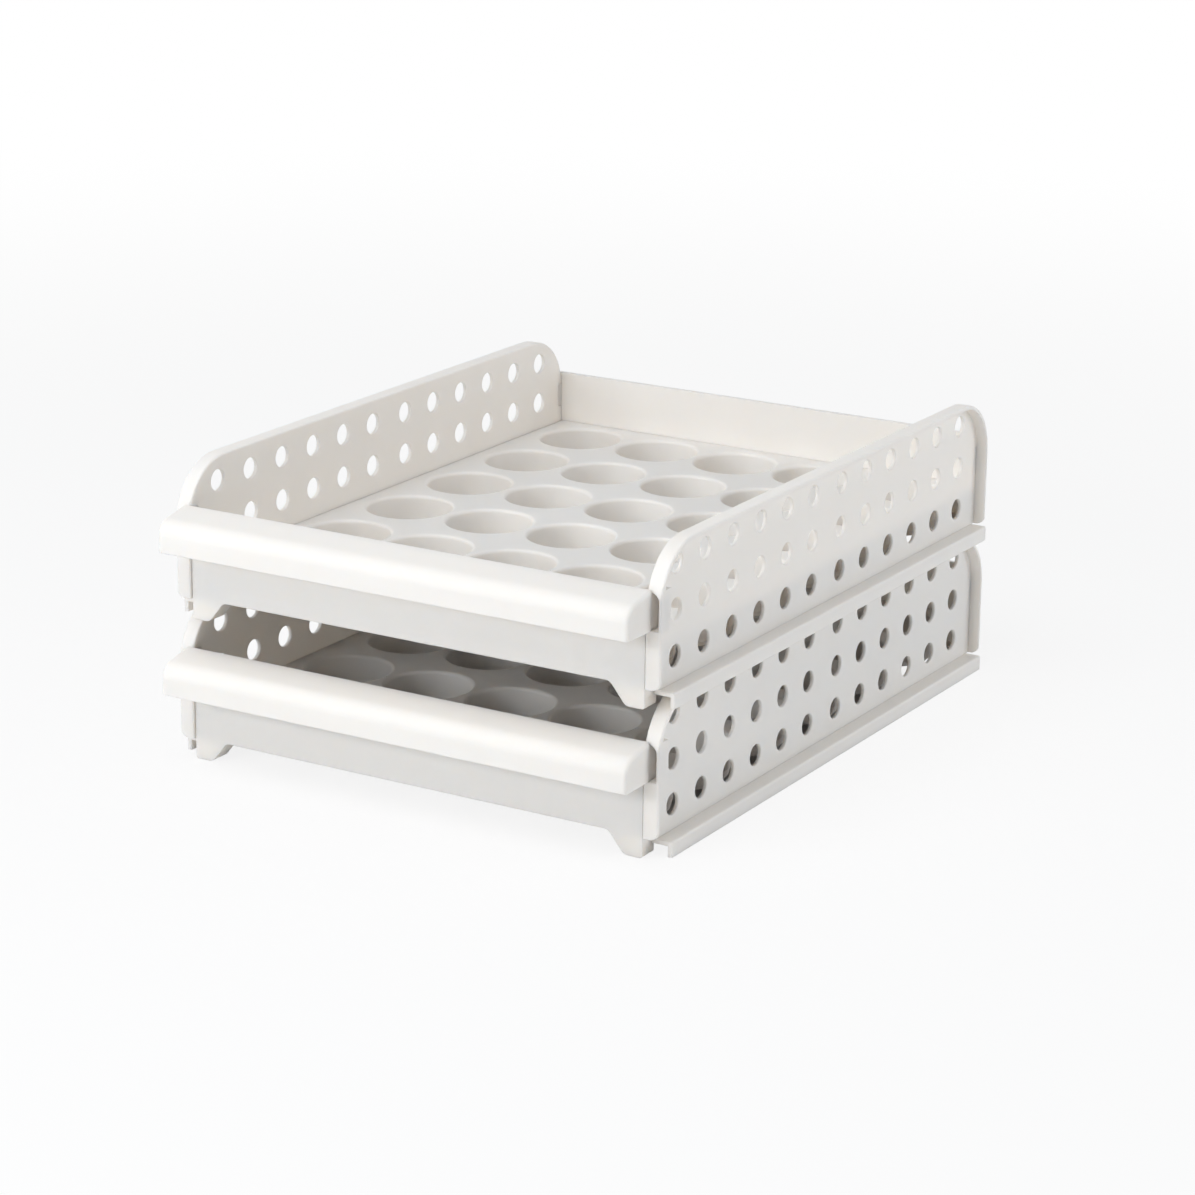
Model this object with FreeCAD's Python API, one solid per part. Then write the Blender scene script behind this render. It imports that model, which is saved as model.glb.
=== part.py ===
import FreeCAD, Part
import math
import os

from FreeCAD import Vector

# Two-tier egg storage box. Lengths in millimetres, X to the right, Y to the back, Z up.
# Heights are measured from the floor that a tier's own feet stand on.

# Side panels: a perforated plate, a rim on three sides, a ledge and a skirt along the bottom
inner_width = 240.0
panel_length = 323.0
panel_height = 67.5
plate_thickness = 2.0
corner_radius = 28.0
rim_width = 5.5
rim_thickness = 2.0
rim_edge_radius = 0.8
rim_end_height = 9.5
rim_end_radius = 4.0
ledge_height = 5.0
ledge_thickness = 2.0
skirt_thickness = 2.0
skirt_clearance = 0.5
skirt_edge_radius = 0.9
skirt_front_setback = 8.5
skirt_rear_setback = 4.5

# Round holes of a side panel, in two groups of columns
hole_diameter = 10.0
hole_edge_radius = 0.6
hole_pitch = 25.0
hole_row_pitch = 21.0
hole_top_margin = 11.75
hole_group_gap = 3.0
hole_end_margin = 20.0
hole_group_count = 2
hole_rows = 3

# Egg tray: a flat deck with round cups
deck_height = 25.75
deck_thickness = 2.0
deck_side_gap = 0.4
deck_end_margin = 1.0
cup_column_pitch = 45.75
cup_row_pitch = 52.9
cup_mouth_diameter = 44.5
cup_rim_radius = 1.5
cup_depth = 18.0
cup_heel_radius = 6.0
cup_wall = 1.8

# Lugs on the side panels that the deck lies on, each between two hole columns
lug_length = 8.0
lug_depth = 4.0
lug_height = 3.5

# Front panel and back panel, each with two feet and a shelf for the deck
front_thickness = 2.0
front_recess = 1.0
front_side_gap = 0.5
front_top_drop = 2.0
back_thickness = 2.0
back_lap = 3.0
back_top_height = 51.75
wall_edge_radius = 0.7
apron_height = 10.0
foot_width = 9.25
foot_depth = 10.0
foot_slope = 8.0
foot_corner_radius = 4.0
foot_toe_radius = 1.2
shelf_depth = 3.0
shelf_thickness = 2.0
shelf_inset = 15.0

# Pull bar: a hollow bar, open below, with closed ends that reach past the side plates' inner faces
bar_overhang = 3.0
bar_depth = 19.25
bar_height = 18.25
bar_bottom_height = 35.75
bar_wall = 2.2
bar_nose_radius = 7.5
bar_top_angle = 12.0
bar_end_radius = 1.8
bar_lip_radius = 0.6

# Clips: the bar's tongues in sockets of the front rims, the back panel's tongues in slots of the side
# plates, and the bar's pegs in slots of the front panel
seat_clearance = 0.2
socket_depth = 7.0
socket_height = 16.5
socket_wall = 1.5
socket_edge = 1.0
socket_corner_radius = 4.5
back_slot_bottom = 34.0
back_slot_height = 12.0
back_slot_depth = 3.0
back_tongue_thickness = 1.0
peg_count = 3
peg_pitch = 80.0
peg_width = 14.0
peg_height = 6.0
peg_stand = 1.0

# Steps in a cup's round bends, so that thirty cups stay light
bend_steps = 3

# How far a cutting shape runs past the face that it cuts, and how closely two places have to agree
overrun = 5.0
match_tolerance = 0.01

# Places across the width
plate_in = inner_width / 2
plate_out = plate_in + plate_thickness
rim_out = plate_out + rim_width
skirt_in = rim_out + skirt_clearance
skirt_out = skirt_in + skirt_thickness
front_half = plate_in - front_side_gap
back_half = plate_out + back_lap
bar_half = plate_in + bar_overhang
tongue_in = plate_in + seat_clearance
back_tongue_out = tongue_in + back_tongue_thickness

# Places along the depth, with the box's middle at zero
overall_depth = bar_depth + seat_clearance + panel_length + seat_clearance + back_thickness
bar_front = -overall_depth / 2
bar_rear = bar_front + bar_depth
panel_front = bar_rear + seat_clearance
panel_rear = panel_front + panel_length
front_face = panel_front + front_recess
front_inner = front_face + front_thickness
back_inner = panel_rear + seat_clearance
back_face = back_inner + back_thickness
deck_front = front_inner + seat_clearance
deck_rear = back_inner - seat_clearance

# Heights. A tier stands with its ledges on the rims of the tier below.
rim_top = ledge_height + panel_height
ledge_top = ledge_height + ledge_thickness
deck_under = deck_height - deck_thickness
bar_top = bar_bottom_height + bar_height
socket_top = bar_bottom_height + socket_height
back_slot_top = back_slot_bottom + back_slot_height
front_top_height = bar_top - front_top_drop
tier_pitch = panel_height

# How many hole columns a panel holds, and how many cups a deck
hole_span = panel_length - hole_end_margin * 2 - (hole_group_count - 1) * hole_group_gap
hole_group_columns = int((hole_span / hole_pitch + 1) // hole_group_count)
deck_half = plate_in - deck_side_gap
cup_columns = int((deck_half * 2) // cup_column_pitch)
cup_rows = int((deck_rear - deck_front - deck_end_margin * 2) // cup_row_pitch)

# A cup's straight bore, its floor, and the middle of its rounded heel as (radius, height)
cup_bore = cup_mouth_diameter / 2 - cup_rim_radius
cup_floor = deck_height - cup_depth
cup_heel = (cup_bore - cup_heel_radius, cup_floor + cup_heel_radius)


def across(y):
    """Places a flat outline on an upright plane across the width."""
    return lambda a, b: Vector(a, y, b)


def along(x):
    """Places a flat outline on an upright plane along the depth."""
    return lambda a, b: Vector(x, a, b)


def rounded_face(corners, place):
    """A flat face with tangent arcs at its corners, each given as (a, b, radius)."""
    firsts = []
    middles = []
    lasts = []
    for i, (a, b, radius) in enumerate(corners):
        here = Vector(a, b, 0)
        before = corners[i - 1]
        after = corners[(i + 1) % len(corners)]
        back = (Vector(before[0], before[1], 0) - here).normalize()
        ahead = (Vector(after[0], after[1], 0) - here).normalize()
        if radius == 0:
            firsts.append(here)
            middles.append(None)
            lasts.append(here)
            continue
        half_angle = back.getAngle(ahead) / 2
        inward = (back + ahead).normalize()
        firsts.append(here + back * (radius / math.tan(half_angle)))
        middles.append(here + inward * (radius / math.sin(half_angle) - radius))
        lasts.append(here + ahead * (radius / math.tan(half_angle)))
    edges = []
    for i in range(len(corners)):
        first = place(firsts[i].x, firsts[i].y)
        last = place(lasts[i].x, lasts[i].y)
        if middles[i] is not None:
            middle = place(middles[i].x, middles[i].y)
            edges.append(Part.Arc(first, middle, last).toShape())
        following = firsts[(i + 1) % len(corners)]
        onward = place(following.x, following.y)
        if last.distanceToPoint(onward) > match_tolerance:
            edges.append(Part.LineSegment(last, onward).toShape())
    return Part.Face(Part.Wire(edges))


def block(low, high):
    """A square-cornered block between two opposite corners."""
    size = [b - a for a, b in zip(low, high)]
    return Part.makeBox(size[0], size[1], size[2], Vector(*low))


def fused(shapes):
    """One solid from shapes that meet."""
    return shapes[0].multiFuse(shapes[1:]).removeSplitter()


def both_sides(shape):
    """A shape and its mirror image across the middle plane."""
    return [shape, shape.mirror(Vector(0, 0, 0), Vector(1, 0, 0))]


def hole_columns():
    """Places of the hole columns along the panel, from the front."""
    count = hole_group_columns * hole_group_count
    run = (count - 1) * hole_pitch + (hole_group_count - 1) * hole_group_gap
    start = (panel_front + panel_rear - run) / 2
    return [start + i * hole_pitch + (i // hole_group_columns) * hole_group_gap for i in range(count)]


def hole_tool(y, z):
    """What one round hole takes out of a side plate, with softened edges."""
    radius = hole_diameter / 2
    wide = radius + hole_edge_radius
    bend = hole_edge_radius * math.sin(math.pi / 4)
    inner_bend = plate_in + hole_edge_radius
    outer_bend = plate_out - hole_edge_radius
    start = Vector(plate_in - overrun, y, z)
    end = Vector(plate_out + overrun, y, z)

    def at(x, r):
        return Vector(x, y, z + r)

    inner_lip = Part.Arc(
        at(plate_in, wide),
        at(inner_bend - bend, wide - bend),
        at(inner_bend, radius),
    )
    outer_lip = Part.Arc(
        at(outer_bend, radius),
        at(outer_bend + bend, wide - bend),
        at(plate_out, wide),
    )
    edges = [
        Part.LineSegment(start, at(start.x, wide)),
        Part.LineSegment(at(start.x, wide), at(plate_in, wide)),
        inner_lip,
        Part.LineSegment(at(inner_bend, radius), at(outer_bend, radius)),
        outer_lip,
        Part.LineSegment(at(plate_out, wide), at(end.x, wide)),
        Part.LineSegment(at(end.x, wide), end),
        Part.LineSegment(end, start),
    ]
    face = Part.Face(Part.Wire([edge.toShape() for edge in edges]))
    return face.revolve(start, Vector(1, 0, 0), 360)


def rim_and_plate():
    """The plate with its rim along the front, top and rear, and the bar's socket behind the front rim."""
    ledge_front = panel_front + skirt_front_setback
    rim_corners = [
        (panel_front, rim_end_height, 0),
        (ledge_front, rim_end_height, 0),
        (ledge_front, ledge_top, 0),
        (panel_rear, ledge_top, 0),
        (panel_rear, rim_top, corner_radius),
        (panel_front, rim_top, corner_radius),
    ]
    slab = rounded_face(rim_corners, along(plate_in)).extrude(Vector(rim_out - plate_in, 0, 0))
    edges = []
    for edge in slab.Edges:
        box = edge.BoundBox
        if box.XLength < match_tolerance and box.ZMax > rim_end_height + match_tolerance:
            edges.append(edge)
    slab = slab.makeFillet(rim_edge_radius, edges)
    recess_corners = [
        (panel_front + rim_thickness, ledge_top - overrun, 0),
        (panel_rear - rim_thickness, ledge_top - overrun, 0),
        (panel_rear - rim_thickness, rim_top - rim_thickness, corner_radius - rim_thickness),
        (panel_front + rim_thickness, rim_top - rim_thickness, corner_radius - rim_thickness),
    ]
    recess = rounded_face(recess_corners, along(plate_out)).extrude(Vector(rim_width + overrun, 0, 0))
    socket = block(
        (plate_in, panel_front, bar_bottom_height - socket_wall),
        (rim_out + overrun, panel_front + socket_depth + socket_wall, socket_top + socket_wall),
    )
    return slab.cut(recess.cut(socket))


def rim_end_tool(start, end, bottom):
    """What rounds off the outer corner at a lower end of the rim."""
    low = (rim_out - rim_end_radius, start, bottom - overrun)
    high = (rim_out + overrun, end, bottom + rim_end_radius)
    middle = Vector(rim_out - rim_end_radius, start - overrun, bottom + rim_end_radius)
    run = end - start + overrun + overrun
    return block(low, high).cut(Part.makeCylinder(rim_end_radius, run, middle, Vector(0, 1, 0)))


def ledge_and_skirt():
    """The ledge that rests on the rim below, with the skirt that hangs outside it."""
    start = panel_front + skirt_front_setback
    end = panel_rear - skirt_rear_setback
    section = [
        (plate_in, ledge_height, 0),
        (skirt_in, ledge_height, 0),
        (skirt_in, 0, 0),
        (skirt_out, 0, 0),
        (skirt_out, ledge_top, skirt_edge_radius),
        (plate_out, ledge_top, 0),
        (plate_out, rim_end_height, 0),
        (plate_in, rim_end_height, 0),
    ]
    return rounded_face(section, across(start)).extrude(Vector(0, end - start, 0))


def socket_tool():
    """What the bar's socket takes out of the front rim and of the plate beside it."""
    mouth_in = plate_in - overrun
    mouth_out = rim_out - socket_edge
    mouth = [
        (mouth_in, bar_bottom_height, 0),
        (mouth_out, bar_bottom_height, 0),
        (mouth_out, socket_top, socket_corner_radius),
        (mouth_in, socket_top, 0),
    ]
    return rounded_face(mouth, across(panel_front - overrun)).extrude(Vector(0, overrun + socket_depth, 0))


def back_slot_tool():
    """What the slot for the back panel's tongue takes out of the plate's inner face."""
    low = (plate_in - overrun, panel_rear - back_slot_depth, back_slot_bottom)
    high = (back_tongue_out + seat_clearance, panel_rear + overrun, back_slot_top)
    return block(low, high)


def deck_lugs():
    """Lugs inside the plate, between hole columns, that carry the edge of the deck."""
    columns = hole_columns()
    spaces = [(first + second) / 2 for first, second in zip(columns, columns[1:])]
    inner = hole_group_columns // 2
    lugs = []
    for middle in (spaces[0], spaces[inner], spaces[-1 - inner], spaces[-1]):
        low = (plate_in - lug_depth, middle - lug_length / 2, deck_under - lug_height)
        high = (plate_in, middle + lug_length / 2, deck_under)
        lugs.append(block(low, high))
    return lugs


def side_panel():
    """The right side panel."""
    front_end = rim_end_tool(panel_front - overrun, panel_front + skirt_front_setback, rim_end_height)
    rear_end = rim_end_tool(panel_rear - skirt_rear_setback, panel_rear + overrun, ledge_top)
    panel = rim_and_plate().cut([front_end, rear_end])
    panel = fused([panel, ledge_and_skirt()] + deck_lugs())
    tools = [socket_tool(), back_slot_tool()]
    for y in hole_columns():
        for row in range(hole_rows):
            tools.append(hole_tool(y, rim_top - hole_top_margin - row * hole_row_pitch))
    return panel.cut(tools)


def round_bend(middle, radius, first_degrees, last_degrees):
    """Points along a round bend of an outline, in a few straight steps."""
    points = []
    for step in range(bend_steps + 1):
        angle = math.radians(first_degrees + (last_degrees - first_degrees) * step / bend_steps)
        points.append((middle[0] + radius * math.cos(angle), middle[1] + radius * math.sin(angle)))
    return points


def turned(x, y, outline):
    """A solid from an outline of (radius, height) points, turned about an upright axis."""
    points = [Vector(x + radius, y, height) for radius, height in outline]
    face = Part.Face(Part.makePolygon(points + points[:1]))
    return face.revolve(Vector(x, y, 0), Vector(0, 0, 1), 360)


def cup_shell(x, y):
    """The outside of one cup, below the deck."""
    outline = [(0, deck_under), (cup_bore + cup_wall, deck_under)]
    outline += round_bend(cup_heel, cup_heel_radius + cup_wall, 0, -90)
    outline += [(0, cup_floor - cup_wall)]
    return turned(x, y, outline)


def cup_hollow(x, y):
    """What one cup takes out of the tray: a soft rim, a straight wall and a rounded heel."""
    mouth = cup_mouth_diameter / 2
    outline = [(0, deck_height + overrun), (mouth, deck_height + overrun)]
    outline += round_bend((mouth, deck_height - cup_rim_radius), cup_rim_radius, 90, 180)
    outline += round_bend(cup_heel, cup_heel_radius, 0, -90)
    outline += [(0, cup_floor)]
    return turned(x, y, outline)


def egg_tray():
    """The deck with its rows of cups."""
    deck = block((-deck_half, deck_front, deck_under), (deck_half, deck_rear, deck_height))
    middle = (deck_front + deck_rear) / 2
    shells = []
    hollows = []
    for column in range(cup_columns):
        for row in range(cup_rows):
            x = (column - (cup_columns - 1) / 2) * cup_column_pitch
            y = middle + (row - (cup_rows - 1) / 2) * cup_row_pitch
            shells.append(cup_shell(x, y))
            hollows.append(cup_hollow(x, y))
    return fused([deck] + shells).cut(hollows)


def wall_with_feet(half, top, face, inward):
    """An upright wall with two feet. Inward is the wall's thickness, signed towards the box's middle."""
    heel = front_half - foot_width
    right = [
        (heel - foot_slope, apron_height, foot_corner_radius),
        (heel, 0, foot_corner_radius),
        (front_half, 0, foot_toe_radius),
    ]
    if half > front_half:
        right.append((front_half, apron_height, 0))
        right.append((half, apron_height, 0))
    right.append((half, top, wall_edge_radius))
    left = [(-a, b, radius) for a, b, radius in reversed(right)]
    wall = rounded_face(right + left, across(face)).extrude(Vector(0, inward, 0))
    foot_corners = [
        (heel - foot_slope, apron_height, 0),
        (heel, 0, foot_corner_radius),
        (front_half, 0, foot_toe_radius),
        (front_half, apron_height, 0),
    ]
    depth = math.copysign(foot_depth, inward)
    foot = rounded_face(foot_corners, across(face)).extrude(Vector(0, depth, 0))
    shelf_half = plate_in - shelf_inset
    near = face + inward
    far = near + math.copysign(shelf_depth, inward)
    shelf = block(
        (-shelf_half, min(near, far), deck_under - shelf_thickness),
        (shelf_half, max(near, far), deck_under),
    )
    return fused([wall, shelf] + both_sides(foot))


def peg_places():
    """Places of the pull bar's pegs across the width."""
    return [(i - (peg_count - 1) / 2) * peg_pitch for i in range(peg_count)]


def peg(x, clearance):
    """One peg of the pull bar, or the slot for it in the front panel."""
    middle = (bar_bottom_height + bar_top) / 2
    half_width = peg_width / 2 + clearance
    half_height = peg_height / 2 + clearance
    low = (x - half_width, bar_rear, middle - half_height)
    high = (x + half_width, front_inner + peg_stand, middle + half_height)
    return block(low, high)


def front_panel():
    """The front wall and apron, with slots for the pull bar's pegs."""
    wall = wall_with_feet(front_half, front_top_height, front_face, front_thickness)
    return wall.cut([peg(x, seat_clearance) for x in peg_places()])


def back_panel():
    """The back wall and apron, with tongues that fit the slots of the side panels."""
    wall = wall_with_feet(back_half, back_top_height, back_face, -back_thickness)
    tip = panel_rear - back_slot_depth + seat_clearance
    bottom = back_slot_bottom + seat_clearance
    top = back_slot_top - seat_clearance
    tongue = block((tongue_in, tip, bottom), (back_tongue_out, back_inner, top))
    return fused([wall] + both_sides(tongue))


def bar_section(rear, front, bottom, top, nose, place):
    """The bar's section: a sloping top, a round nose and an upright front."""
    angle = math.radians(bar_top_angle)
    front_top = top - (rear - front) * math.tan(angle)
    corners = [
        (rear, bottom, 0),
        (front, bottom, 0),
        (front, front_top, nose),
        (rear, top, 0),
    ]
    return rounded_face(corners, place)


def pull_bar():
    """The hollow bar across the front, with its pegs and end tongues."""
    section = bar_section(bar_rear, bar_front, bar_bottom_height, bar_top, bar_nose_radius, along(-bar_half))
    body = section.extrude(Vector(bar_half * 2, 0, 0))
    edges = []
    for edge in body.Edges:
        box = edge.BoundBox
        at_end = box.XLength < match_tolerance
        on_rear = box.YMin > bar_rear - match_tolerance
        on_bottom = box.ZMax < bar_bottom_height + match_tolerance
        if at_end and not on_rear and not on_bottom:
            edges.append(edge)
    body = body.makeFillet(bar_end_radius, edges)
    lip = []
    for edge in body.Edges:
        box = edge.BoundBox
        on_bottom = box.ZMax < bar_bottom_height + match_tolerance
        on_rear = box.YMin > bar_rear - match_tolerance
        if on_bottom and not on_rear:
            lip.append(edge)
    body = body.makeFillet(bar_lip_radius, lip)
    slope = bar_wall / math.cos(math.radians(bar_top_angle))
    hollow_top = bar_top - slope - bar_wall * math.tan(math.radians(bar_top_angle))
    hollow = bar_section(
        bar_rear - bar_wall,
        bar_front + bar_wall,
        bar_bottom_height - overrun,
        hollow_top,
        bar_nose_radius - bar_wall,
        along(bar_wall - bar_half),
    )
    body = body.cut(hollow.extrude(Vector((bar_half - bar_wall) * 2, 0, 0)))
    tip = panel_front + socket_depth - seat_clearance
    bottom = bar_bottom_height + seat_clearance
    top = socket_top - seat_clearance
    tongue = block((tongue_in, bar_rear, bottom), (tongue_in + bar_wall, tip, top))
    return fused([body] + both_sides(tongue) + [peg(x, 0) for x in peg_places()])


def single_solid(name, shape):
    """The one valid solid of a piece."""
    if len(shape.Solids) != 1 or not shape.isValid():
        raise RuntimeError(name + " is not one valid solid")
    return shape.Solids[0]


def main():
    os.makedirs("parts", exist_ok=True)
    right = side_panel()
    pieces = {
        "egg_tray": egg_tray(),
        "right_side_panel": right,
        "left_side_panel": both_sides(right)[1],
        "front_panel": front_panel(),
        "back_panel": back_panel(),
        "pull_bar": pull_bar(),
    }
    for level, tier in enumerate(("lower", "upper")):
        for name, shape in pieces.items():
            solid = single_solid(name, shape).translated(Vector(0, 0, level * tier_pitch))
            solid.exportStep("parts/" + tier + "_" + name + ".step")


main()
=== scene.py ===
import math

import bpy
from bpy.props import FloatProperty, FloatVectorProperty, PointerProperty
from mathutils import Matrix, Vector


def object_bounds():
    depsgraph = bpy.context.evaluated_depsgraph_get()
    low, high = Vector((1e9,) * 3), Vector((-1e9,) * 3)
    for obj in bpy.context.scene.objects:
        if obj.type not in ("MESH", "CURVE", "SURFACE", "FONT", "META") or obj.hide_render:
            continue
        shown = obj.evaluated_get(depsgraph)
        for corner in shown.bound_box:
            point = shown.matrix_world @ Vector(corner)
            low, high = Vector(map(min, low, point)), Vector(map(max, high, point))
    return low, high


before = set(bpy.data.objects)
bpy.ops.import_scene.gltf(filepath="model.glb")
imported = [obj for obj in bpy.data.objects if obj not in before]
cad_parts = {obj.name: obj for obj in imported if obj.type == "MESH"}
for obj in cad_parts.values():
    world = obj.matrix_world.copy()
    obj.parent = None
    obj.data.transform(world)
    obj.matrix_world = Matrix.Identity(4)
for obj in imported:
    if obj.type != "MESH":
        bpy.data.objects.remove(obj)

bl_info = {
    "name": "Egg Box Finish",
    "version": (1, 0, 0),
    "blender": (4, 5, 0),
    "location": "View3D > Sidebar > Egg Box",
    "description": "Finishes the moulded pieces of a two-tier egg storage box and sets up its stage",
    "category": "Object",
}

CAD_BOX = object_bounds()
TIERS = ("lower", "upper")
WHITE = (1.0, 1.0, 1.0)


class EggBoxPlastic(bpy.types.PropertyGroup):
    """Colour and surface of the moulded plastic."""

    colour: FloatVectorProperty(
        name="Colour",
        description="Base colour of the off-white plastic",
        default=(0.925, 0.872, 0.812),
        subtype="COLOR",
        min=0.0,
        max=1.0,
    )
    roughness: FloatProperty(
        name="Roughness",
        description="Mean roughness of the matt moulded surface",
        default=0.44,
        subtype="FACTOR",
    )
    bar_roughness: FloatProperty(
        name="Bar Roughness",
        description="Mean roughness of the pull bars",
        default=0.6,
        subtype="FACTOR",
    )
    sheen_spread: FloatProperty(
        name="Sheen Spread",
        description="How much the roughness varies over a surface",
        default=0.1,
        subtype="FACTOR",
    )
    refraction: FloatProperty(
        name="Refraction",
        description="Refractive index of the plastic",
        default=1.49,
        min=1.0,
    )
    grain_size: FloatProperty(
        name="Grain Size",
        description="Size of the fine texture left by the mould",
        default=0.0006,
        unit="LENGTH",
    )
    grain_depth: FloatProperty(
        name="Grain Depth",
        description="Height of the fine texture left by the mould",
        default=0.000012,
        unit="LENGTH",
    )
    ripple_size: FloatProperty(
        name="Ripple Size",
        description="Size of the slow unevenness of a large moulded wall",
        default=0.045,
        unit="LENGTH",
    )
    ripple_depth: FloatProperty(
        name="Ripple Depth",
        description="Height of the slow unevenness of a large moulded wall",
        default=0.00012,
        unit="LENGTH",
    )
    clouding: FloatProperty(
        name="Clouding",
        description="How much the colour varies over a moulded wall",
        default=0.02,
        subtype="FACTOR",
    )
    edge_radius: FloatProperty(
        name="Edge Radius",
        description="Radius of the softened edges of the mouldings",
        default=0.0006,
        unit="LENGTH",
    )
    glow_share: FloatProperty(
        name="Glow Share",
        description="Share of the light that enters the plastic and comes out elsewhere",
        default=0.6,
        subtype="FACTOR",
    )
    glow_reach: FloatProperty(
        name="Glow Reach",
        description="How far red light, which goes furthest, travels inside the plastic",
        default=0.006,
        unit="LENGTH",
    )
    glow_tint: FloatVectorProperty(
        name="Glow Tint",
        description="How far red, green and blue light travel, as shares of the reach",
        default=(1.0, 0.85, 0.72),
        subtype="COLOR",
    )


class EggBoxStage(bpy.types.PropertyGroup):
    """Camera, light and floor around the box."""

    camera_place: FloatVectorProperty(
        name="Camera Place",
        description="Where the camera stands",
        default=(0.82948, -1.37946, 0.55095),
        subtype="TRANSLATION",
        unit="LENGTH",
    )
    camera_heading: FloatProperty(
        name="Camera Heading",
        description="Turn of the view from straight ahead, towards the left",
        default=math.radians(30.8648),
        subtype="ANGLE",
    )
    camera_dip: FloatProperty(
        name="Camera Dip",
        description="How far the view points below the horizon",
        default=math.radians(17.0096),
        subtype="ANGLE",
    )
    camera_roll: FloatProperty(
        name="Camera Roll",
        description="Turn of the camera about its own line of sight",
        default=math.radians(0.6193),
        subtype="ANGLE",
    )
    lens: FloatProperty(
        name="Lens",
        description="Focal length on a sensor 36 mm wide, in millimetres",
        default=106.295,
        min=1.0,
    )
    light_colour: FloatVectorProperty(
        name="Light Colour",
        description="Colour of all the lights, a little cool",
        default=(0.98, 1.0, 1.03),
        subtype="COLOR",
    )
    ambient: FloatProperty(
        name="Ambient",
        description="Level of the even light from all round",
        default=0.32,
        min=0.0,
    )
    key_place: FloatVectorProperty(
        name="Key Place",
        description="Where the large soft light in front of the box stands",
        default=(-0.5, -1.5, 0.58),
        subtype="TRANSLATION",
        unit="LENGTH",
    )
    key_width: FloatProperty(
        name="Key Width",
        description="Width of the large soft light in front of the box",
        default=1.0,
        unit="LENGTH",
    )
    key_height: FloatProperty(
        name="Key Height",
        description="Height of the large soft light in front of the box",
        default=0.4,
        unit="LENGTH",
    )
    key_power: FloatProperty(
        name="Key Power",
        description="Power of the large soft light in front of the box, in watts",
        default=9.2,
        min=0.0,
    )
    top_place: FloatVectorProperty(
        name="Top Place",
        description="Where the soft light above the box hangs",
        default=(-0.1, -0.7, 1.28),
        subtype="TRANSLATION",
        unit="LENGTH",
    )
    top_width: FloatProperty(
        name="Top Width",
        description="Width of the soft light above the box",
        default=0.9,
        unit="LENGTH",
    )
    top_height: FloatProperty(
        name="Top Height",
        description="Depth of the soft light above the box",
        default=0.9,
        unit="LENGTH",
    )
    top_power: FloatProperty(
        name="Top Power",
        description="Power of the soft light above the box, in watts",
        default=8.3,
        min=0.0,
    )
    fill_place: FloatVectorProperty(
        name="Fill Place",
        description="Where the soft light at the right of the box stands",
        default=(1.2, 0.55, 0.25),
        subtype="TRANSLATION",
        unit="LENGTH",
    )
    fill_width: FloatProperty(
        name="Fill Width",
        description="Width of the soft light at the right of the box",
        default=0.9,
        unit="LENGTH",
    )
    fill_height: FloatProperty(
        name="Fill Height",
        description="Height of the soft light at the right of the box",
        default=0.9,
        unit="LENGTH",
    )
    fill_power: FloatProperty(
        name="Fill Power",
        description="Power of the soft light at the right of the box, in watts",
        default=6.3,
        min=0.0,
    )
    floor_size: FloatProperty(
        name="Floor Size",
        description="Width of the square floor",
        default=14.0,
        unit="LENGTH",
    )
    floor_gap: FloatProperty(
        name="Floor Gap",
        description="How far the floor lies below the feet",
        default=0.0004,
        unit="LENGTH",
    )
    floor_colour: FloatVectorProperty(
        name="Floor Colour",
        description="Colour of the pale floor",
        default=(0.9, 0.9, 0.9),
        subtype="COLOR",
    )
    floor_glow: FloatProperty(
        name="Floor Glow",
        description="Share of the floor's white that the shadow doesn't dim, near the box",
        default=0.85,
        subtype="FACTOR",
    )
    shadow_reach: FloatProperty(
        name="Shadow Reach",
        description="How far around the box the floor keeps its shadow",
        default=0.25,
        unit="LENGTH",
    )
    white_reach: FloatProperty(
        name="White Reach",
        description="How far from the box the floor is fully white",
        default=1.5,
        unit="LENGTH",
    )
    # The two settings below place the painted shade under the box, where the floor's glow is taken away
    # and only its lit colour shows.
    painted_shade_inset: FloatVectorProperty(
        name="Shade Inset",
        description="How far inside the box's outline the deep shade under it begins, across and along",
        default=(0.03, 0.06),
        size=2,
        unit="LENGTH",
    )
    painted_shade_blur: FloatProperty(
        name="Shade Blur",
        description="How softly the deep shade under the box ends",
        default=0.015,
        unit="LENGTH",
    )


def node_tree(owner):
    """An empty node tree of a material, a world or a group."""
    if hasattr(owner, "use_nodes"):
        owner.use_nodes = True
        owner = owner.node_tree
    owner.nodes.clear()
    return owner


def add_node(tree, kind, **settings):
    """A node with its properties set."""
    node = tree.nodes.new(kind)
    for name, value in settings.items():
        setattr(node, name, value)
    return node


def opaque(colour):
    """A colour with full alpha."""
    return (*colour, 1.0)


def link(tree, source, target):
    """Joins two sockets, each given as (node, socket name)."""
    tree.links.new(source[0].outputs[source[1]], target[0].inputs[target[1]])


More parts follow.
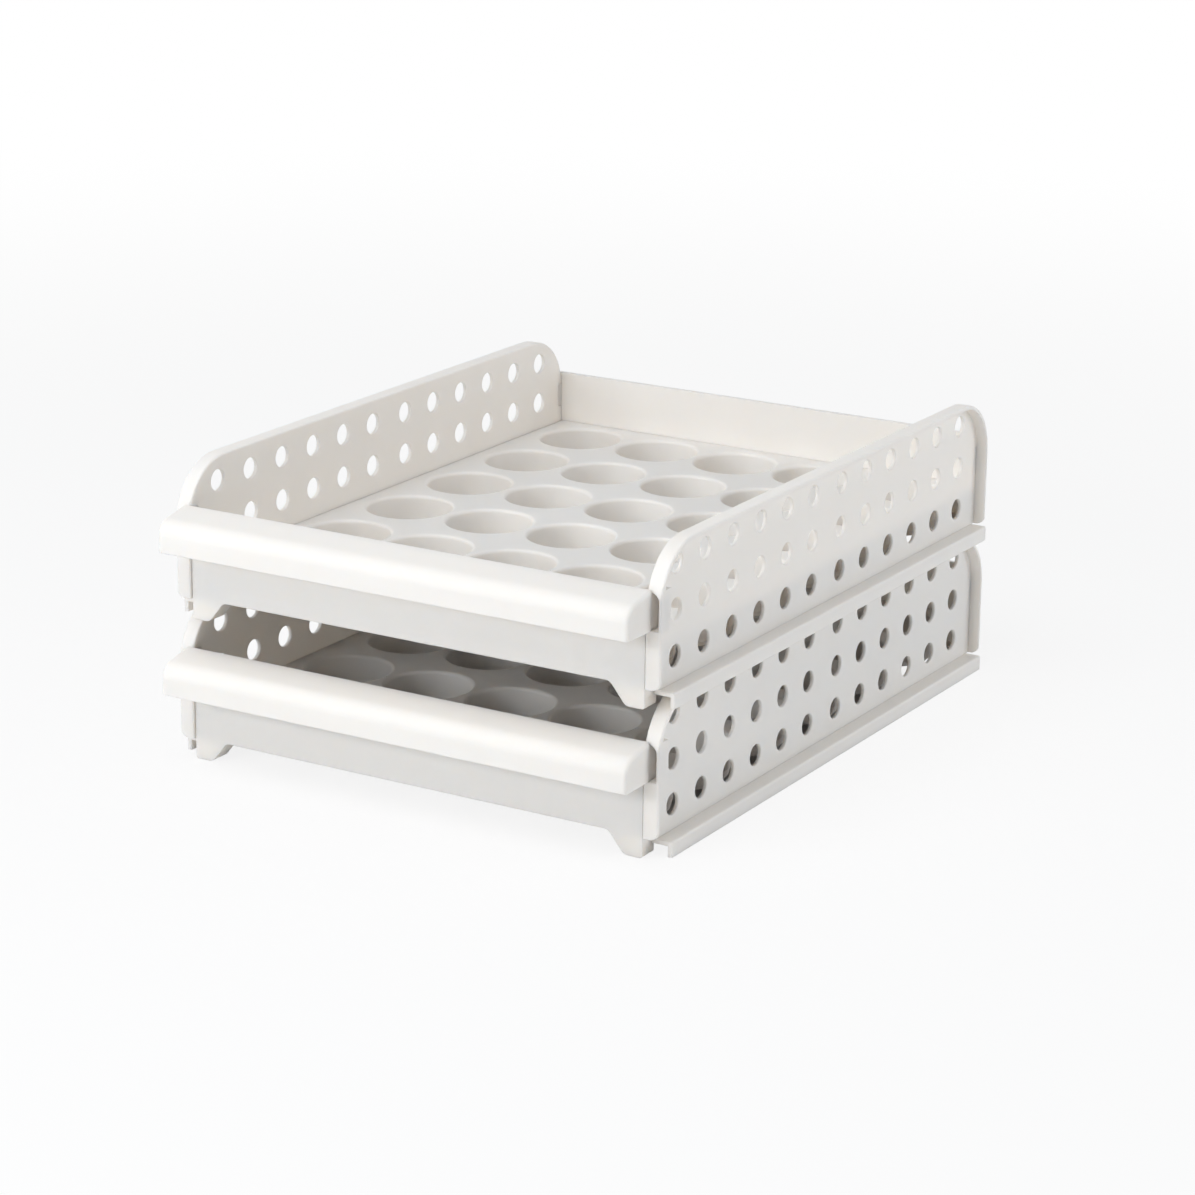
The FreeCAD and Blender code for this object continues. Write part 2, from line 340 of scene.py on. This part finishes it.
def moulded_surface_group():
    """The shared surface of a moulded wall: clouded colour, uneven sheen and two scales of relief."""
    group = bpy.data.node_groups.new("Moulded Surface", "ShaderNodeTree")
    sockets = group.interface
    sockets.new_socket("Position", in_out="INPUT", socket_type="NodeSocketVector")
    for name in ("Grain Scale", "Grain Depth", "Ripple Scale", "Ripple Depth"):
        sockets.new_socket(name, in_out="INPUT", socket_type="NodeSocketFloat")
    for name in ("Cloud", "Sheen", "Relief"):
        sockets.new_socket(name, in_out="OUTPUT", socket_type="NodeSocketFloat")
    tree = node_tree(group)
    given = add_node(tree, "NodeGroupInput")
    result = add_node(tree, "NodeGroupOutput")
    grain = add_node(tree, "ShaderNodeTexNoise")
    ripple = add_node(tree, "ShaderNodeTexNoise")
    for noise, name in ((grain, "Grain Scale"), (ripple, "Ripple Scale")):
        link(tree, (given, "Position"), (noise, "Vector"))
        link(tree, (given, name), (noise, "Scale"))
    fine = add_node(tree, "ShaderNodeMath", operation="MULTIPLY")
    link(tree, (grain, "Fac"), (fine, 0))
    link(tree, (given, "Grain Depth"), (fine, 1))
    relief = add_node(tree, "ShaderNodeMath", operation="MULTIPLY_ADD")
    link(tree, (ripple, "Fac"), (relief, 0))
    link(tree, (given, "Ripple Depth"), (relief, 1))
    link(tree, (fine, "Value"), (relief, 2))
    link(tree, (ripple, "Fac"), (result, "Cloud"))
    link(tree, (grain, "Fac"), (result, "Sheen"))
    link(tree, (relief, "Value"), (result, "Relief"))
    return group


def surface_group():
    """The moulded surface group, made once."""
    return bpy.data.node_groups.get("Moulded Surface") or moulded_surface_group()


def moulded_plastic(name, roughness, soft_edges):
    """Off-white moulded plastic, matt and faintly clouded, with softened edges where asked."""
    look = bpy.context.scene.egg_box_plastic
    material = bpy.data.materials.new(name)
    tree = node_tree(material)
    place = add_node(tree, "ShaderNodeTexCoord")
    surface = add_node(tree, "ShaderNodeGroup", node_tree=surface_group())
    surface.inputs["Grain Scale"].default_value = 1.0 / look.grain_size
    surface.inputs["Grain Depth"].default_value = look.grain_depth
    surface.inputs["Ripple Scale"].default_value = 1.0 / look.ripple_size
    surface.inputs["Ripple Depth"].default_value = look.ripple_depth
    link(tree, (place, "Object"), (surface, "Position"))
    tint = add_node(tree, "ShaderNodeMix", data_type="RGBA")
    colour = Vector(look.colour)
    tint.inputs["A"].default_value = opaque(colour * (1.0 - look.clouding))
    tint.inputs["B"].default_value = opaque(colour * (1.0 + look.clouding))
    link(tree, (surface, "Cloud"), (tint, "Factor"))
    sheen = add_node(tree, "ShaderNodeMapRange")
    sheen.inputs["To Min"].default_value = roughness * (1.0 - look.sheen_spread)
    sheen.inputs["To Max"].default_value = roughness * (1.0 + look.sheen_spread)
    link(tree, (surface, "Sheen"), (sheen, "Value"))
    # The relief is in metres, so the bump takes it as it is
    bump = add_node(tree, "ShaderNodeBump")
    bump.inputs["Distance"].default_value = 1.0
    link(tree, (surface, "Relief"), (bump, "Height"))
    if soft_edges:
        edges = add_node(tree, "ShaderNodeBevel")
        edges.inputs["Radius"].default_value = look.edge_radius
        link(tree, (edges, "Normal"), (bump, "Normal"))
    shader = add_node(tree, "ShaderNodeBsdfPrincipled")
    shader.inputs["IOR"].default_value = look.refraction
    shader.inputs["Subsurface Weight"].default_value = look.glow_share
    shader.inputs["Subsurface Radius"].default_value = look.glow_tint
    shader.inputs["Subsurface Scale"].default_value = look.glow_reach
    link(tree, (tint, "Result"), (shader, "Base Color"))
    link(tree, (sheen, "Result"), (shader, "Roughness"))
    link(tree, (bump, "Normal"), (shader, "Normal"))
    output = add_node(tree, "ShaderNodeOutputMaterial")
    link(tree, (shader, "BSDF"), (output, "Surface"))
    return material


def finish_nodes(names, material):
    """Gives CAD nodes of both tiers a material."""
    for tier in TIERS:
        for name in names:
            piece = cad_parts[tier + "_" + name]
            for holder in piece.material_slots:
                holder.material = material


class EGGBOX_OT_trays(bpy.types.Operator):
    """Finish the egg trays"""

    bl_idname = "eggbox.trays"
    bl_label = "Egg Trays"

    def execute(self, context):
        look = context.scene.egg_box_plastic
        finish_nodes(("egg_tray",), moulded_plastic("tray_plastic", look.roughness, False))
        return {"FINISHED"}


class EGGBOX_OT_side_panels(bpy.types.Operator):
    """Finish the perforated side panels"""

    bl_idname = "eggbox.side_panels"
    bl_label = "Side Panels"

    def execute(self, context):
        look = context.scene.egg_box_plastic
        material = moulded_plastic("panel_plastic", look.roughness, True)
        finish_nodes(("left_side_panel", "right_side_panel"), material)
        return {"FINISHED"}


class EGGBOX_OT_walls(bpy.types.Operator):
    """Finish the front and back panels"""

    bl_idname = "eggbox.walls"
    bl_label = "Front and Back Panels"

    def execute(self, context):
        look = context.scene.egg_box_plastic
        material = moulded_plastic("wall_plastic", look.roughness, True)
        finish_nodes(("front_panel", "back_panel"), material)
        return {"FINISHED"}


class EGGBOX_OT_pull_bars(bpy.types.Operator):
    """Finish the pull bars"""

    bl_idname = "eggbox.pull_bars"
    bl_label = "Pull Bars"

    def execute(self, context):
        look = context.scene.egg_box_plastic
        finish_nodes(("pull_bar",), moulded_plastic("bar_plastic", look.bar_roughness, False))
        return {"FINISHED"}


def seen_directly(tree):
    """A value of 1 for rays from the camera, mirrors and glass, and 0 for all other light."""
    path = add_node(tree, "ShaderNodeLightPath")
    either = add_node(tree, "ShaderNodeMath", operation="ADD", use_clamp=True)
    link(tree, (path, "Is Camera Ray"), (either, 0))
    link(tree, (path, "Is Glossy Ray"), (either, 1))
    seen = add_node(tree, "ShaderNodeMath", operation="ADD", use_clamp=True)
    link(tree, (either, "Value"), (seen, 0))
    link(tree, (path, "Is Transmission Ray"), (seen, 1))
    return seen


def floor_white(tree, stage):
    """The floor's share of plain white: none under the box, a painted shade that leaves only the lit
    floor there, its glow near it, and all far off.
    """
    place = add_node(tree, "ShaderNodeTexCoord")
    aside = add_node(tree, "ShaderNodeVectorMath", operation="ABSOLUTE")
    link(tree, (place, "Object"), (aside, 0))
    half = (CAD_BOX[1] - CAD_BOX[0]) / 2
    past = add_node(tree, "ShaderNodeVectorMath", operation="SUBTRACT")
    past.inputs[1].default_value = (half.x - stage.painted_shade_inset[0], half.y - stage.painted_shade_inset[1], half.z)
    link(tree, (aside, "Vector"), (past, 0))
    outer = add_node(tree, "ShaderNodeVectorMath", operation="MAXIMUM")
    link(tree, (past, "Vector"), (outer, 0))
    distance = add_node(tree, "ShaderNodeVectorMath", operation="LENGTH")
    link(tree, (outer, "Vector"), (distance, 0))
    # Painted shade: the glow is taken away inside the inset outline under the box and comes back past
    # the blur.
    painted_shade_edge = add_node(tree, "ShaderNodeMapRange", interpolation_type="SMOOTHSTEP")
    painted_shade_edge.inputs["From Max"].default_value = stage.painted_shade_blur
    link(tree, (distance, "Value"), (painted_shade_edge, "Value"))
    fade = add_node(tree, "ShaderNodeMapRange", interpolation_type="SMOOTHSTEP")
    fade.inputs["From Min"].default_value = stage.shadow_reach
    fade.inputs["From Max"].default_value = stage.white_reach
    fade.inputs["To Min"].default_value = stage.floor_glow
    link(tree, (distance, "Value"), (fade, "Value"))
    share = add_node(tree, "ShaderNodeMath", operation="MULTIPLY")
    link(tree, (painted_shade_edge, "Result"), (share, 0))
    link(tree, (fade, "Result"), (share, 1))
    return share


def floor_material(stage):
    """A white floor that keeps the box's soft shadow, with painted shade under the box where its glow is
    taken away.
    """
    material = bpy.data.materials.new("studio_floor")
    tree = node_tree(material)
    lit = add_node(tree, "ShaderNodeBsdfDiffuse")
    lit.inputs["Color"].default_value = opaque(stage.floor_colour)
    white = add_node(tree, "ShaderNodeEmission")
    seen = seen_directly(tree)
    share = add_node(tree, "ShaderNodeMath", operation="MULTIPLY")
    link(tree, (seen, "Value"), (share, 0))
    link(tree, (floor_white(tree, stage), "Value"), (share, 1))
    mix = add_node(tree, "ShaderNodeMixShader")
    link(tree, (share, "Value"), (mix, 0))
    tree.links.new(lit.outputs["BSDF"], mix.inputs[1])
    tree.links.new(white.outputs["Emission"], mix.inputs[2])
    output = add_node(tree, "ShaderNodeOutputMaterial")
    link(tree, (mix, "Shader"), (output, "Surface"))
    return material


def make_floor(stage):
    """The floor under the feet."""
    half = stage.floor_size / 2
    level = CAD_BOX[0].z - stage.floor_gap
    corners = [(-half, -half, level), (half, -half, level), (half, half, level), (-half, half, level)]
    mesh = bpy.data.meshes.new("studio_floor")
    mesh.from_pydata(corners, [], [(0, 1, 2, 3)])
    mesh.materials.append(floor_material(stage))
    floor = bpy.data.objects.new("studio_floor", mesh)
    bpy.context.scene.collection.objects.link(floor)


def make_world(stage):
    """Even light from all round, and white where it is seen directly."""
    world = bpy.data.worlds.new("studio_world")
    tree = node_tree(world)
    even = add_node(tree, "ShaderNodeBackground")
    even.inputs["Strength"].default_value = stage.ambient
    even.inputs["Color"].default_value = opaque(stage.light_colour)
    white = add_node(tree, "ShaderNodeBackground")
    white.inputs["Color"].default_value = opaque(WHITE)
    mix = add_node(tree, "ShaderNodeMixShader")
    link(tree, (seen_directly(tree), "Value"), (mix, 0))
    tree.links.new(even.outputs["Background"], mix.inputs[1])
    tree.links.new(white.outputs["Background"], mix.inputs[2])
    output = add_node(tree, "ShaderNodeOutputWorld")
    link(tree, (mix, "Shader"), (output, "Surface"))
    bpy.context.scene.world = world


def make_softbox(stage, role, target):
    """A soft light aimed at a point, with the place, size and power of its role."""
    place = getattr(stage, role + "_place")
    name = role + "_softbox"
    lamp = bpy.data.lights.new(name, "AREA")
    lamp.color = stage.light_colour
    lamp.shape = "RECTANGLE"
    lamp.size = getattr(stage, role + "_width")
    lamp.size_y = getattr(stage, role + "_height")
    lamp.energy = getattr(stage, role + "_power")
    holder = bpy.data.objects.new(name, lamp)
    holder.location = place
    holder.rotation_euler = (Vector(target) - Vector(place)).to_track_quat("-Z", "Y").to_euler()
    bpy.context.scene.collection.objects.link(holder)


def make_camera(stage):
    """The camera at the photograph's viewing angle."""
    data = bpy.data.cameras.new("studio_camera")
    data.lens = stage.lens
    data.clip_end = stage.floor_size * 2
    camera = bpy.data.objects.new("studio_camera", data)
    turn = Matrix.Rotation(stage.camera_heading, 4, "Z")
    dip = Matrix.Rotation(math.pi / 2 - stage.camera_dip, 4, "X")
    roll = Matrix.Rotation(stage.camera_roll, 4, "Z")
    camera.matrix_world = Matrix.Translation(stage.camera_place) @ turn @ dip @ roll
    bpy.context.scene.collection.objects.link(camera)
    bpy.context.scene.camera = camera


class EGGBOX_OT_stage(bpy.types.Operator):
    """Set up the floor, the soft light and the camera"""

    bl_idname = "eggbox.stage"
    bl_label = "Stage"

    def execute(self, context):
        stage = context.scene.egg_box_stage
        middle = (CAD_BOX[0] + CAD_BOX[1]) / 2
        make_floor(stage)
        make_world(stage)
        for role in ("key", "top", "fill"):
            make_softbox(stage, role, middle)
        make_camera(stage)
        context.scene.view_settings.view_transform = "Standard"
        return {"FINISHED"}


class EGGBOX_PT_sidebar(bpy.types.Panel):
    """Pieces and stage of the egg box"""

    bl_idname = "EGGBOX_PT_sidebar"
    bl_label = "Egg Box"
    bl_space_type = "VIEW_3D"
    bl_region_type = "UI"
    bl_category = "Egg Box"

    def draw(self, context):
        for group in (context.scene.egg_box_plastic, context.scene.egg_box_stage):
            column = self.layout.column()
            for name in group.__annotations__:
                column.prop(group, name)
        for operator in OPERATORS:
            self.layout.operator(operator.bl_idname)


OPERATORS = (
    EGGBOX_OT_trays,
    EGGBOX_OT_side_panels,
    EGGBOX_OT_walls,
    EGGBOX_OT_pull_bars,
    EGGBOX_OT_stage,
)
CLASSES = (EggBoxPlastic, EggBoxStage, *OPERATORS, EGGBOX_PT_sidebar)


def register():
    for cls in CLASSES:
        bpy.utils.register_class(cls)
    bpy.types.Scene.egg_box_plastic = PointerProperty(type=EggBoxPlastic)
    bpy.types.Scene.egg_box_stage = PointerProperty(type=EggBoxStage)


def unregister():
    del bpy.types.Scene.egg_box_stage
    del bpy.types.Scene.egg_box_plastic
    for cls in reversed(CLASSES):
        bpy.utils.unregister_class(cls)


def main():
    register()
    bpy.ops.eggbox.trays()
    bpy.ops.eggbox.side_panels()
    bpy.ops.eggbox.walls()
    bpy.ops.eggbox.pull_bars()
    bpy.ops.eggbox.stage()


if __name__ == "__main__":
    main()
